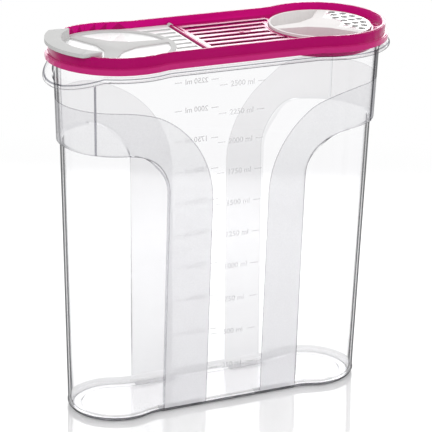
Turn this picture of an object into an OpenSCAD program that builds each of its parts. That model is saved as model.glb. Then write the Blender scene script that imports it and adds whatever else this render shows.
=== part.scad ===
// Cereal container with a flip spout cap and a turning dispenser dial.
// Origin: centre of the base, on the surface it stands on. +X towards the dial, +Z up.

/* [Outline] */
// Distance between the centres of the two round ends
lobe_pitch = 140; // [110:1:180]
// Radius of the round ends, on the outside of the lid wall
end_r = 42; // [34:0.5:52]
// How far the waist is drawn in from the width of the round ends, on each side
waist_in = 4; // [0:0.1:8]
// Radius that blends the waist into the round ends
blend_r = 20; // [12:1:40]

/* [Vessel] */
// Height of the vessel, from the surface to its rim
vessel_h = 236.4; // [200:0.1:280]
// Thickness of the vessel's wall
wall_t = 1.6; // [1:0.1:2.6]
// Thickness of the vessel's floor
floor_t = 2.2; // [1.4:0.1:4]
// How far the vessel's wall lies inside the lid wall, at the flange
wall_inset = 3.3; // [2.8:0.1:4.5]
// How much the base is drawn in on each side by the draft
base_taper = 7.3; // [3:0.1:10]
// Radius of the edge round the base
base_edge = 4; // [2:0.5:8]
// Height of the hollow under the base
base_hollow = 0.8; // [0.4:0.1:1.5]
// Width of the ring that the base stands on
foot_ring = 6; // [3:0.5:10]
// Thickness of the bead round the rim, measured out from the wall
bead_out = 2.2; // [1:0.1:2.4]

/* [Flange] */
// Reach of the flange outside the lid wall
flange_out = 3.3; // [2:0.1:5]
// Distance from the rim down to the top of the flange
flange_drop = 3.7; // [3:0.1:8]
// Thickness of the flange
flange_t = 2.7; // [1.6:0.1:5]
// Slope of the flange's finger grip at the spout end, in degrees
grip_slope = 23; // [5:1:30]
// Length of the finger grip, back from the tip of the flange
grip_len = 25.3; // [15:0.1:35]

/* [Ribs] */
// Angle of the four slim ribs under the flange, about the centres of the round ends
rib_angle = 48.7; // [35:0.1:60]
// Width of a rib at its crest
rib_w = 1; // [0.6:0.1:2]
// Reach of a rib outside the wall
rib_out = 0.6; // [0.3:0.1:1]

/* [Grip panels] */
// Height of the top edge of the recessed panels
panel_top = 181; // [140:1:200]
// Half the width of the raised centre between the panels
panel_in = 47; // [35:1:52]
// Radius of the panels' upper corners
panel_corner = 29; // [15:1:36]
// Depth of the panels at their top edge
panel_deep = 2.2; // [0.8:0.1:3]
// Depth of the panels at the base
panel_shallow = 0.9; // [0.4:0.1:2]

/* [Lid] */
// Height of the lid's rim above the vessel's rim
lid_rise = 8.6; // [7:0.1:14]
// Thickness of the lid's wall
lid_wall = 2; // [1.4:0.1:3]
// Thickness of the lid's platform under the cap
platform_t = 1.4; // [1:0.1:2]
// Height of the deck above the platform
deck_rise = 2.2; // [1.9:0.1:3]
// Thickness of the deck
deck_t = 1.6; // [1:0.1:2]
// Depth of the skirt below the vessel's rim
skirt_drop = 1.7; // [1:0.1:2.4]
// Thickness of the skirt
skirt_t = 1.8; // [1:0.1:2.4]
// Gap between the skirt and the bead on the vessel's rim
skirt_gap = 1.3; // [0.3:0.1:2]
// Height of the skirt's shoulder above the underside of the platform
shoulder_h = 1.9; // [1.5:0.1:4]
// Depth of the ring that plugs the vessel's mouth
plug_depth = 3; // [1.5:0.1:6]
// Thickness of the plug ring
plug_t = 1.4; // [1:0.1:2]
// Number of grooves across the deck and the cap
groove_count = 7; // [3:2:9]
// Distance between grooves
groove_pitch = 8.3; // [6:0.1:9]
// Width of a groove
groove_w = 3.6; // [1.5:0.1:4.4]
// Depth of a groove
groove_deep = 0.7; // [0.3:0.1:1]

/* [Hinge] */
// Distance of the hinge axis from the centre, towards the spout
hinge_x = 19.5; // [15:0.5:24]
// Height of the hinge axis above the platform
hinge_rise = 2; // [1.9:0.1:2.6]
// Radius of the cross bar between the cap and the deck
bar_r = 1.3; // [0.8:0.1:1.5]
// Radius of the hinge ears
ear_r = 1.7; // [1.4:0.05:1.8]
// Width of a hinge ear
ear_w = 3.2; // [2:0.1:5]
// Radius of the hinge pins
pin_r = 1; // [0.7:0.05:1.2]
// Length of a hinge pin inside the lid wall
pin_in = 1.2; // [0.8:0.1:1.4]
// Gap between the hinge axis and the cap's and the deck's edges
hinge_gap = 2.3; // [1.9:0.1:3]

/* [Flip cap] */
// Gap between the cap and the lid around it
cap_gap = 0.5; // [0.3:0.1:1]
// Gap between the cap and the platform under it
seat_gap = 0.3; // [0.2:0.05:0.5]
// Thickness of the cap's dished floor
cap_t = 1.6; // [1:0.1:2]
// Height of the cap's ribbed end above its floor
cap_step = 0.5; // [0.3:0.1:1.2]
// Height of the ring and the three arms above the cap's floor
relief_h = 1; // [0.4:0.1:3]
// Distance from the outside of the lid wall in to the raised ring
ring_in = 5; // [3:0.1:10]
// Width of the raised ring
ring_w = 3.5; // [2:0.1:6]
// Half the width of the thumb lip
lip_half = 29; // [15:1:30]
// Radius at the two ends of the thumb lip
lip_round = 1.2; // [0.4:0.1:1.6]
// Reach of the thumb lip outside the lid wall
lip_out = 2; // [0.5:0.1:4]
// Thickness of the thumb lip
lip_t = 2.4; // [1.6:0.1:3]
// Height of the thumb lip's underside above the seat cut in the lid wall
lip_gap = 0.3; // [0.2:0.05:0.6]
// Depth of the seat cut in the lid wall for the lip
lip_notch = 1; // [0.4:0.1:2]
// Distance from the outside of the lid wall in to the pouring hole
spout_in = 13.8; // [11:0.1:22]
// Gap between the cap's plug and the pouring hole
spout_gap = 0.4; // [0.3:0.05:0.8]
// Depth of the cap's plug below the cap
spout_plug = 3; // [1.5:0.1:4]

/* [Dial] */
// Distance from the outside of the lid wall in to the well that the dial turns in
well_in = 8.8; // [6.3:0.1:12]
// Thickness of the wall round the well
well_wall = 1.2; // [0.8:0.1:1.3]
// Thickness of the well's floor
well_floor_t = 1.5; // [1:0.1:2]
// Gap between the dial and its well
dial_gap = 0.4; // [0.3:0.05:0.8]
// Height of the dial above the deck
dial_rise = 1.8; // [0.6:0.1:3]
// Depth of the dial, from its top to its underside
dial_h = 10.9; // [8:0.1:12]
// Thickness of the dial's plates and walls
dial_t = 1.4; // [1:0.1:2]
// Width of the dial's and the cap's three arms at their ends
arm_w = 6; // [4:0.2:9]
// Width that the tapered arms would have at the centre
arm_root = 14; // [9:0.5:18]
// Radius of the circle round the three-sided hub, whose corners run into the arms
hub_r = 21; // [16:0.5:26]
// Radius of the dial's stem
stem_r = 3; // [2:0.1:4]
// Radial clearance of the stem and of the hinge pins
run_fit = 0.05; // [0.02:0.01:0.08]
// Reach of the stem's snap barb past the stem
barb_out = 0.6; // [0.3:0.1:1]
// Radius of the sprinkling holes
hole_r = 2.4; // [1:0.1:2.8]
// Distance from the dial's edge in to the outer row of holes
row_edge = 4.4; // [4.2:0.1:8]
// Distance between the rows of holes
row_pitch = 5.4; // [5:0.1:7]
// Half the angle of the outlet in the floor of the well
outlet_half = 46; // [25:1:50]

/* [Hidden] */

clear_plastic = [0.86, 0.88, 0.9, 0.45];
magenta = [0.72, 0.02, 0.4];
pale_grey = [0.84, 0.84, 0.83];
warm_grey = [0.8, 0.79, 0.77];

$fn = 96;
eps = 0.01;
lobe_x = lobe_pitch / 2;
waist_half = end_r - waist_in;
through = 40;

// The outline is followed by its arc length s from the middle of a long side to the end
blend_a = acos((waist_half + blend_r) / (end_r + blend_r));
blend_x = lobe_x - (end_r + blend_r) * sin(blend_a);
s_blend = blend_x;
s_lobe = s_blend + blend_r * blend_a * PI / 180;
s_end = s_lobe + end_r * (90 + blend_a) * PI / 180;
side_steps = 10;
shoulder_steps = 7;
tip_steps = 5;
edge_w = 0.8;

// Small edges, fillets and clearances
hollow_edge = 1;
bead_h = 2.2;
bead_edge = 0.6;
mouth_edge = 0.5;
lid_seat = 0.2;
plug_fit = 0.5;
rim_out = 0.5;
rim_in = 0.4;
skirt_edge = 0.6;
plate_in = 0.3;
wall_bite = 1;
hub_fillet = 4;
lip_set = 0.4;
lip_side = 1;
barb_play = 0.3;
barb_h = 2.2;
barb_taper = 0.6;
slot_w = 1.2;
slot_h = 5;

// Heights that follow from the sizes
flange_top = vessel_h - flange_drop;
flange_low = flange_top - flange_t;
seat_z = vessel_h + lid_seat;
platform_z = seat_z + platform_t;
deck_z = platform_z + deck_rise;
lid_top = vessel_h + lid_rise;
notch_z = lid_top - lip_notch;
skirt_out = -wall_inset + bead_out + skirt_gap + skirt_t;
skirt_in = skirt_out - skirt_t;
inner_wall = -wall_inset - wall_t;
plug_out = inner_wall - plug_fit;
hinge_z = platform_z + hinge_rise;
cap_low = platform_z + seat_gap;
cap_floor = cap_low + cap_t;
cap_flat = cap_floor + cap_step;
cap_relief = cap_floor + relief_h;
cap_edge = -lid_wall - cap_gap;
lip_low = notch_z + lip_gap;
lip_top = lip_low + lip_t;
ear_gap = 0.8;
ear_out = waist_half - lid_wall - ear_gap;
bar_web = 1.4;
end_play = 0.2;
ring_r = end_r - ring_in;
dish_r = ring_r - ring_w;
spout_r = end_r - spout_in;
well_r = end_r - well_in;
grip_start = lobe_x + end_r + flange_out - grip_len;
groove_margin = 1.2;
border_w = 2.4;
dial_top = deck_z + dial_rise;
dial_low = dial_top - dial_h;
dial_r = well_r - dial_gap;
well_floor = dial_low - seat_gap;
well_low = well_floor - well_floor_t;
well_rim = 0.4;
gate_x = 17;
gate_r = 1.5;
outlet_in = 10;
outlet_out = well_r - 4;
deck_edge = -hinge_x + hinge_gap + deck_t;

// Rows of sprinkling holes: radius, number, angle between neighbours
outer_row = dial_r - row_edge;
hole_rows = [[outer_row - 2 * row_pitch, 3, 27], [outer_row - row_pitch, 5, 19.5], [outer_row, 7, 15.6]];

// One point of the outline, at arc length s, moved out by d
function side_point(s, d) =
    s <= s_blend ? [s, waist_half + d]
    : s <= s_lobe ? blend_point((s - s_blend) / blend_r * 180 / PI, d)
    : lobe_point(90 + blend_a - (s - s_lobe) / end_r * 180 / PI, d);
function blend_point(a, d) =
    [blend_x + (blend_r - d) * sin(a), waist_half + blend_r - (blend_r - d) * cos(a)];
function lobe_point(a, d) = [lobe_x + (end_r + d) * cos(a), (end_r + d) * sin(a)];

// Arc lengths of the points along one quarter, with an edge at s_edge and a rib
rib_s = s_end - end_r * rib_angle * PI / 180;
rib_foot = rib_w / 2 + 0.3;
function spread(from, to, count) = [for (i = [0:count - 1]) from + (to - from) * i / count];
function quarter(s_edge) = concat(
    spread(0, s_edge, side_steps), [s_edge],
    spread(s_edge + edge_w, rib_s - rib_foot, shoulder_steps),
    [rib_s - rib_foot, rib_s - rib_w / 2, rib_s + rib_w / 2],
    spread(rib_s + rib_foot, s_end, tip_steps), [s_end]);
rib_first = side_steps + shoulder_steps + 2;
quarter_n = side_steps + shoulder_steps + 4 + tip_steps;

// Index in the quarter, and signs of x and y, of each point round the ring
ring_order = concat(
    [for (i = [quarter_n:-1:0]) [i, 1, 1]],
    [for (i = [1:quarter_n]) [i, -1, 1]],
    [for (i = [quarter_n - 1:-1:0]) [i, -1, -1]],
    [for (i = [1:quarter_n - 1]) [i, 1, -1]]);
ring_n = len(ring_order);

// Dip of the flange at the spout end, at the place x
function grip_dip(x, start) = max(0, -x - start) * tan(grip_slope);

// One ring of the vessel: height, offset, panel depth, panel edge, start of the dip, rib
function vessel_ring(z, d, deep = 0, s_edge = s_corner, start = 1000, rib = 0) =
    let (s = quarter(s_edge))
    [for (k = ring_order)
        let (on_rib = k[0] == rib_first || k[0] == rib_first + 1,
            p = side_point(s[k[0]], d - (k[0] > side_steps ? deep : 0) + (on_rib ? rib : 0)),
            x = p[0] * k[1])
        [x, p[1] * k[2], z - grip_dip(x, start)]];

// The drafted wall, and the panels that are recessed into it
function wall_off(z) = -wall_inset - base_taper * (1 - z / flange_low);
function panel_depth(z) = panel_shallow + (panel_deep - panel_shallow) * z / panel_top;
s_corner = panel_in + panel_corner;
corner_z = panel_top - panel_corner;
panel_rows = concat(
    [for (f = [0.04, 0.5, 1]) [corner_z * f, panel_in]],
    [for (a = [15:15:90]) [corner_z + panel_corner * sin(a), s_corner - panel_corner * cos(a)]]);

function panel_rings(inset, low) =
    [for (r = panel_rows) if (r[0] > low)
        vessel_ring(r[0], wall_off(r[0]) - inset, panel_depth(r[0]), r[1])];

base_off = wall_off(0);
outer_rings = concat(
    [vessel_ring(base_hollow, base_off - base_edge - foot_ring, 0, panel_in),
     vessel_ring(0, base_off - base_edge - foot_ring + hollow_edge, 0, panel_in),
     vessel_ring(0, base_off - base_edge * 0.75, 0, panel_in),
     vessel_ring(base_edge * 0.3, base_off - base_edge * 0.25, panel_shallow * 0.5, panel_in)],
    panel_rings(0, base_edge),
    [vessel_ring(panel_top + edge_w, wall_off(panel_top + edge_w), rib = rib_out),
     vessel_ring(flange_low, -wall_inset, start = grip_start, rib = rib_out),
     vessel_ring(flange_low, flange_out, start = grip_start),
     vessel_ring(flange_top, flange_out, start = grip_start + 3),
     vessel_ring(flange_top, -wall_inset, start = grip_start + 3),
     vessel_ring(vessel_h - bead_h, -wall_inset),
     vessel_ring(vessel_h - bead_h + bead_edge, -wall_inset + bead_out),
     vessel_ring(vessel_h - bead_edge, -wall_inset + bead_out),
     vessel_ring(vessel_h, -wall_inset + bead_out - bead_edge)]);
inner_rings = concat(
    [vessel_ring(floor_t, base_off - wall_t - base_edge, 0, panel_in),
     vessel_ring(floor_t + base_edge * 0.3, base_off - wall_t - base_edge * 0.4, 0, panel_in)],
    panel_rings(wall_t, base_edge + floor_t),
    [vessel_ring(panel_top + edge_w, wall_off(panel_top + edge_w) - wall_t),
     vessel_ring(flange_low, inner_wall),
     vessel_ring(vessel_h - mouth_edge, inner_wall),
     vessel_ring(vessel_h, inner_wall + mouth_edge)]);

// Closed skin through a stack of rings, with a fan at each end
module loft(rings) {
    count = len(rings);
    mid_a = [0, 0, rings[0][0][2]];
    mid_b = [0, 0, rings[count - 1][0][2]];
    points = concat([for (r = rings) each r], [mid_a, mid_b]);
    // Each four-sided face is split along its shorter diagonal
    sides = [for (k = [0:count - 2], i = [0:ring_n - 1])
        let (j = (i + 1) % ring_n, a = k * ring_n, b = a + ring_n)
        each norm(points[a + i] - points[b + j]) < norm(points[a + j] - points[b + i])
            ? [[a + i, b + i, b + j], [a + i, b + j, a + j]]
            : [[a + i, b + i, a + j], [b + i, b + j, a + j]]];
    ends = [for (i = [0:ring_n - 1])
        let (j = (i + 1) % ring_n, b = (count - 1) * ring_n)
        each [[i, j, count * ring_n], [b + j, b + i, count * ring_n + 1]]];
    polyhedron(points, concat(sides, ends));
}

// Flat outline of the container, moved out by d
module outline(d) {
    s = quarter(s_corner);
    polygon([for (k = ring_order)
        let (p = side_point(s[k[0]], d)) [p[0] * k[1], p[1] * k[2]]]);
}

// Prism between two heights
module slab(low, high) {
    translate([0, 0, low]) linear_extrude(high - low) children();
}

// Band between two outlines
module band(out, in, low, high) {
    slab(low, high) difference() {
        outline(out);
        outline(in);
    }
}

// Half plane to the left or right of x
module beyond(x, side) {
    far = 2 * lobe_pitch;
    translate([side > 0 ? x : x - far, -2 * end_r]) square([far, 4 * end_r]);
}

// Three tapered arms about a three-sided hub, the first arm pointing along +X
module three_arms(reach) {
    offset(r = -hub_fillet) offset(r = hub_fillet) {
        circle(r = hub_r, $fn = 3);
        for (a = [0, 120, 240]) rotate(a)
            polygon([[0, -arm_root / 2], [reach, -arm_w / 2], [reach, arm_w / 2], [0, arm_root / 2]]);
    }
}

// Grooves from x as far as the circle of radius keep_r round the centre of a lobe
module grooves(x, top, side, keep_r) {
    for (i = [0:groove_count - 1]) {
        y = (i - (groove_count - 1) / 2) * groove_pitch;
        to = side * (lobe_x - sqrt(keep_r * keep_r - y * y));
        translate([min(x, to), y - groove_w / 2, top - groove_deep])
            cube([abs(to - x), groove_w, groove_deep + 1]);
    }
}

module vessel() {
    color(clear_plastic)
        loft(concat(outer_rings, [for (i = [len(inner_rings) - 1:-1:0]) inner_rings[i]]));
}

module lid_shell() {
    band(0, -lid_wall, seat_z, lid_top - rim_out);
    band(-rim_out, -lid_wall + rim_in, lid_top - rim_out - eps, lid_top);
    band(skirt_out, skirt_in, vessel_h - skirt_drop, seat_z + shoulder_h - skirt_edge);
    band(skirt_out - skirt_edge, -lid_wall, seat_z, seat_z + shoulder_h);
    band(skirt_out - plate_in, plug_out - plug_t, seat_z, platform_z);
    band(plug_out, plug_out - plug_t, seat_z - plug_depth, platform_z);
}

module lid_platform() {
    slab(seat_z, platform_z) intersection() {
        outline(-wall_bite);
        beyond(deck_edge, -1);
    }
    translate([-lobe_x, 0, seat_z - plug_depth])
        cylinder(r = spout_r + plug_t, h = plug_depth + eps);
}

module lid_deck() {
    slab(deck_z - deck_t, deck_z) intersection() {
        outline(-wall_bite);
        beyond(deck_edge - deck_t, 1);
    }
    slab(seat_z, deck_z) intersection() {
        outline(-wall_bite);
        beyond(deck_edge - deck_t, 1);
        beyond(deck_edge, -1);
    }
    translate([lobe_x, 0, well_low]) cylinder(r = well_r + well_wall, h = deck_z + well_rim - well_low);
    translate([gate_x, groove_pitch / 2, deck_z - eps]) cylinder(r = gate_r, h = well_rim);
}

module hinge_bar() {
    length = 2 * (ear_out - ear_w - seat_gap);
    translate([-hinge_x, 0, hinge_z]) rotate([90, 0, 0])
        cylinder(r = bar_r, h = length, center = true);
    translate([-hinge_x - bar_web / 2, -length / 2, platform_z - eps])
        cube([bar_web, length, hinge_z - platform_z]);
}

// The outlet: a sector of the well's floor, between outlet_in and outlet_out
module well_outlet() {
    far = 2 * well_r;
    slab(well_low - 1, well_floor + 1) translate([lobe_x, 0]) intersection() {
        circle(r = outlet_out);
        polygon([for (end = [[outlet_in, -1], [far, -1], [far, 1], [outlet_in, 1]])
            end[0] * [cos(outlet_half), end[1] * sin(outlet_half)]]);
    }
}

// Strip across the spout end that holds the thumb lip
module lip_strip(half) {
    translate([-2 * end_r, -half]) square([2 * end_r, 2 * half]);
}

module lid() {
    color(magenta) difference() {
        union() {
            lid_shell();
            lid_platform();
            lid_deck();
            hinge_bar();
        }
        translate([-lobe_x, 0, seat_z - plug_depth - 1]) cylinder(r = spout_r, h = through);
        translate([lobe_x, 0, well_floor]) cylinder(r = well_r, h = through);
        translate([lobe_x, 0, well_low - 1]) cylinder(r = stem_r + run_fit, h = through);
        well_outlet();
        grooves(deck_edge + groove_margin, deck_z, 1, well_r + border_w);
        for (s = [-1, 1]) translate([-hinge_x, s * (ear_out + ear_gap / 2), hinge_z])
            rotate([-90 * s, 0, 0])
                cylinder(r = pin_r + run_fit, h = ear_gap / 2 + pin_in + end_play);
        slab(notch_z, notch_z + through) translate([-lobe_x, 0]) lip_strip(lip_half + lip_side);
    }
}

module cap_outline() {
    intersection() {
        outline(cap_edge);
        beyond(-hinge_x - hinge_gap, -1);
    }
}

// The thumb lip seen from above, a crescent with rounded ends
module lip_plan() {
    offset(r = lip_round) offset(delta = -lip_round) intersection() {
        difference() {
            circle(r = end_r + lip_out);
            circle(r = dish_r + lip_set);
        }
        lip_strip(lip_half);
    }
}

module cap_lip() {
    translate([-lobe_x, 0, 0]) {
        slab(lip_low, lip_top) lip_plan();
        slab(cap_low, lip_top) intersection() {
            lip_plan();
            circle(r = ring_r);
        }
    }
}

module cap_hinge() {
    for (s = [-1, 1]) translate([-hinge_x, s * (ear_out - ear_w / 2), hinge_z]) {
        rotate([90, 0, 0]) cylinder(r = ear_r, h = ear_w, center = true);
        translate([-hinge_gap - 1, -ear_w / 2, cap_low - hinge_z])
            cube([hinge_gap + 1, ear_w, cap_flat - cap_low]);
        rotate([-90 * s, 0, 0]) cylinder(r = pin_r, h = ear_w / 2 + ear_gap + pin_in);
    }
}

module flip_cap() {
    color(pale_grey) union() {
        slab(cap_low, cap_floor) cap_outline();
        difference() {
            slab(cap_floor - eps, cap_flat) difference() {
                cap_outline();
                translate([-lobe_x, 0]) circle(r = dish_r);
            }
            grooves(-hinge_x - hinge_gap - groove_margin, cap_flat, -1, ring_r);
        }
        slab(cap_floor - eps, cap_relief) translate([-lobe_x, 0]) {
            difference() {
                circle(r = ring_r);
                circle(r = dish_r);
            }
            three_arms(dish_r + 1);
        }
        translate([-lobe_x, 0, cap_low - spout_plug]) difference() {
            cylinder(r = spout_r - spout_gap, h = spout_plug + eps);
            translate([0, 0, -1]) cylinder(r = spout_r - spout_gap - plug_t, h = spout_plug + 1);
        }
        cap_lip();
        cap_hinge();
    }
}

module dispenser_dial() {
    color(warm_grey) translate([lobe_x, 0, 0]) union() {
        difference() {
            translate([0, 0, dial_low]) cylinder(r = dial_r, h = dial_h);
            translate([0, 0, dial_low - 1]) cylinder(r = dial_r - dial_t, h = dial_h + 2);
        }
        dial_top_plate();
        dial_web();
        slab(dial_low, dial_low + dial_t) sector(60, 180);
        dial_stem();
    }
}

// Sector of the dial between two angles
module sector(from, to) {
    far = 2 * dial_r;
    intersection() {
        circle(r = dial_r - dial_t / 2);
        polygon([[0, 0], [far * cos(from), far * sin(from)],
            [far * cos((from + to) / 2), far * sin((from + to) / 2)],
            [far * cos(to), far * sin(to)]]);
    }
}

module dial_top_plate() {
    slab(dial_top - dial_t, dial_top) difference() {
        sector(-60, 60);
        for (row = hole_rows, i = [0:row[1] - 1])
            rotate((i - (row[1] - 1) / 2) * row[2])
                translate([row[0], 0]) circle(r = hole_r);
    }
}

module dial_web() {
    difference() {
        slab(dial_low, dial_top) rotate(180) three_arms(dial_r - dial_t / 2);
        slab(dial_low - 1, dial_top - dial_t) offset(delta = -dial_t)
            rotate(180) three_arms(dial_r - dial_t / 2);
    }
}

// The stem, with a barb that snaps through the well's floor and a slot that lets it
module dial_stem() {
    barb_z = well_low - barb_play;
    tip_z = barb_z - barb_h;
    difference() {
        union() {
            translate([0, 0, barb_z - eps]) cylinder(r = stem_r, h = dial_top - dial_t - barb_z + 2 * eps);
            translate([0, 0, tip_z]) cylinder(r1 = stem_r - barb_taper, r2 = stem_r + barb_out, h = barb_h);
        }
        translate([-slot_w / 2, -2 * stem_r, tip_z - 1]) cube([slot_w, 4 * stem_r, slot_h + 1]);
    }
}

vessel();
lid();
flip_cap();
dispenser_dial();
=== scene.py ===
import math

import bmesh
import bpy
from bpy.props import FloatProperty, FloatVectorProperty, IntProperty, PointerProperty
from mathutils import Matrix, Vector


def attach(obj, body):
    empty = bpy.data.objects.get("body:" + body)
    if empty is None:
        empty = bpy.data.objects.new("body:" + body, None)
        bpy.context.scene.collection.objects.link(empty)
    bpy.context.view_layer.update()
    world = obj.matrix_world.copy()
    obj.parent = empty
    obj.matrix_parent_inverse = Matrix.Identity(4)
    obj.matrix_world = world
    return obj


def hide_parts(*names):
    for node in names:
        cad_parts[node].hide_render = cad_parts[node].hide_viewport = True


bl_info = {
    "name": "Cereal container",
    "version": (1, 0, 0),
    "blender": (4, 5, 0),
    "location": "3D View > Sidebar > Cereal container",
    "description": "Dresses a cereal container with a flip cap and a dispenser dial",
    "category": "Add Mesh",
}

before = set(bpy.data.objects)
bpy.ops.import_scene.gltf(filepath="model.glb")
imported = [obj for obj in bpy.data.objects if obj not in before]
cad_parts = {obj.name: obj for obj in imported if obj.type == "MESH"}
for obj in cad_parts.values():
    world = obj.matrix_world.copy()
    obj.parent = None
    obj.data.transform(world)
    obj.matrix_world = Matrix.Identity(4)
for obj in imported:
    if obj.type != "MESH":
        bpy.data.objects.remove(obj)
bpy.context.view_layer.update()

# Points round a quarter of the vessel: to the panel's edge, on to the rib, and on to the tip
STRAIGHT_STEPS = 20
SHOULDER_STEPS = 20
TIP_STEPS = 16
EDGE_WIDTH = 0.0008
# Columns of a rib: its first foot and the two edges of its crest
RIB_COLUMNS = range(STRAIGHT_STEPS + SHOULDER_STEPS + 1, STRAIGHT_STEPS + SHOULDER_STEPS + 4)
RIB_FOOT = 0.0003
# Rows round the rounded edges, and the flange's rows that are drawn as lines of painted shade
BASE_STEPS = 7
FLANGE_STEPS = 8
BEAD_STEPS = 6
INNER_STEPS = 6
FLANGE_LINES = (0, 1, 2, 6, 7)
PANEL_STEPS = 8
PANEL_CORNER_ANGLES = (8, 16, 24, 32, 40, 48, 56, 63, 69, 74, 78, 82, 86, 90)
# Small steps of the vessel's mouldings
FOOT_SLOPE = 0.001
PANEL_STEP = 0.0009
SHOULDER_HEIGHTS = (0.190, 0.200, 0.212)
FLANGE_FILLET = 0.0008
GRIP_SHIFT = 0.003
BEAD_RADIUS = 0.0008
BEAD_CENTRE = 0.0011
BEAD_START = 0.0024
INNER_RIM_EDGE = 0.0005
FLOOR_EDGE = 0.004
EDGE_ARC = (-90, -8)
# Widths of the soft edges of the lid, and of the cap and the dial
LID_SOFTNESS = 0.00035
INSERT_SOFTNESS = 0.0003
# How far a face may lie from the height that marks its finish and its painted highlight
HEIGHT_TOLERANCE = 0.0001
# Material slots of the vessel; three of them take a dark tint as painted shade along edges
FROSTED, CLEAR, MOULDED_EDGE_SHADE, PANEL_EDGE_SHADE, BASE_EDGE_SHADE = range(5)
# Softness of the frosted bands' edges, half the width of the lines of painted shade along them,
# and the share at which the distance from the panel counts, which makes the line there wider
BAND_SOFTNESS = 0.0003
BAND_SHADE_LINE = 0.0004
PANEL_SHADE_LINE_SHARE = 0.6
# How much of a frosted band and of its painted shade lines shows from the front and from behind
BAND_COVER = (0.66, 0.33)
SHADE_LINE_COVER = (0.85, 0.30)
# Clear plastic: how edge on it is seen where it darkens, and what it lets through at both ends
SOFT_DARKENING = (0.62, 0.84, 1.0, 0.70)
STEEP_DARKENING = (0.72, 0.85, 0.0, 1.0)
# How far the painted shade tints of the edges turn clear where a face is seen from behind
PALER_BEHIND = 0.72
# Heights between which the frosting thins, and what is left of it above
FROST_FADE = (0.13, 0.19, 1.0, 0.55)
# Distances from the middle between which the floor turns white, and how white it is at both
FLOOR_FADE = (0.28, 0.55, 0.2, 1.0)
# Share of light that clear plastic and the lid mirror square on, and what is added edge on
CLEAR_GLOSS = (0.015, 0.3)
LID_GLOSS = (0.004, 0.9)
# Marks of the scale: depth and thickness of a tick, reach of the marks, and a letter's boldness
TICK_DEPTH = 0.0002
TICK_THICKNESS = 0.0005
MARK_REACH = 0.0001
MARK_BOLDNESS = 0.00008
FONT_PER_DIGIT = 1.4
SLICE = 0.0005
MILLILITRE = 1e-6
# Each lamp's name, place, target, size and power
LAMPS = (
    ("Key", (-0.9, -0.9, 1.5), (0, 0, 0.15), (0.9, 0.9), 7),
    ("Fill", (1.2, -0.7, 0.9), (0, 0, 0.12), (0.8, 1.2), 4),
    ("Glare", (0.62, 1.32, 0.79), (0, 0, 0.24), (1.1, 0.8), 9),
)


class OutlineSizes(bpy.types.PropertyGroup):
    """The outline of the container, measured on the outside of the lid's wall"""

    lobe_x: FloatProperty(
        name="Lobe centre", description="Distance from the middle to the centre of a round end",
        default=0.070, unit="LENGTH")
    end_radius: FloatProperty(
        name="End radius", description="Radius of the round ends", default=0.042, unit="LENGTH")
    waist_half: FloatProperty(
        name="Half waist", description="Half the width across the waist", default=0.038, unit="LENGTH")
    blend_radius: FloatProperty(
        name="Blend radius", description="Radius between the waist and a round end",
        default=0.020, unit="LENGTH")


class VesselSizes(bpy.types.PropertyGroup):
    """The clear vessel"""

    height: FloatProperty(
        name="Rim height", description="Height of the rim", default=0.2364, unit="LENGTH")
    wall: FloatProperty(
        name="Wall", description="Thickness of the wall", default=0.0016, unit="LENGTH")
    floor: FloatProperty(
        name="Floor", description="Thickness of the floor", default=0.0022, unit="LENGTH")
    inset: FloatProperty(
        name="Inset", description="How far the wall lies inside the lid at the flange",
        default=0.0033, unit="LENGTH")
    taper: FloatProperty(
        name="Taper", description="How much the base is drawn in", default=0.0073, unit="LENGTH")
    base_edge: FloatProperty(
        name="Base edge", description="Radius of the edge round the base", default=0.004, unit="LENGTH")
    base_hollow: FloatProperty(
        name="Base hollow", description="Height of the hollow under the base",
        default=0.0008, unit="LENGTH")
    foot_ring: FloatProperty(
        name="Foot ring", description="Width of the ring that the base stands on",
        default=0.006, unit="LENGTH")
    flange_low: FloatProperty(
        name="Flange underside", description="Height of the flange's underside",
        default=0.2300, unit="LENGTH")
    flange_top: FloatProperty(
        name="Flange top", description="Height of the flange's top", default=0.2327, unit="LENGTH")
    flange_out: FloatProperty(
        name="Flange reach", description="Reach of the flange outside the lid's wall",
        default=0.0033, unit="LENGTH")
    grip_start: FloatProperty(
        name="Grip start", description="Distance from the middle at which the finger grip dips",
        default=0.090, unit="LENGTH")
    grip_slope: FloatProperty(
        name="Grip slope", description="Slope of the finger grip", default=math.radians(23),
        subtype="ANGLE")
    bead: FloatProperty(
        name="Bead", description="Reach of the snap bead past the wall", default=0.0022, unit="LENGTH")
    panel_in: FloatProperty(
        name="Panel edge", description="Half the width between the grip panels",
        default=0.047, unit="LENGTH")
    panel_top: FloatProperty(
        name="Panel top", description="Height of the panels' upper edge", default=0.181, unit="LENGTH")
    panel_corner: FloatProperty(
        name="Panel corner", description="Radius of the panels' upper corners",
        default=0.029, unit="LENGTH")
    panel_deep: FloatProperty(
        name="Panel depth", description="Depth of the panels at the top", default=0.0022, unit="LENGTH")
    panel_shallow: FloatProperty(
        name="Panel depth at the base", description="Depth of the panels at the base",
        default=0.0009, unit="LENGTH")
    rib_angle: FloatProperty(
        name="Rib angle", description="Angle of the four slim ribs about the round ends",
        default=math.radians(48.7), subtype="ANGLE")
    rib_width: FloatProperty(
        name="Rib width", description="Width of a rib at its crest", default=0.001, unit="LENGTH")
    rib_out: FloatProperty(
        name="Rib reach", description="Reach of a rib outside the wall", default=0.0006, unit="LENGTH")
    rib_top: FloatProperty(
        name="Rib top", description="Height at which the ribs end", default=0.2285, unit="LENGTH")


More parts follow.
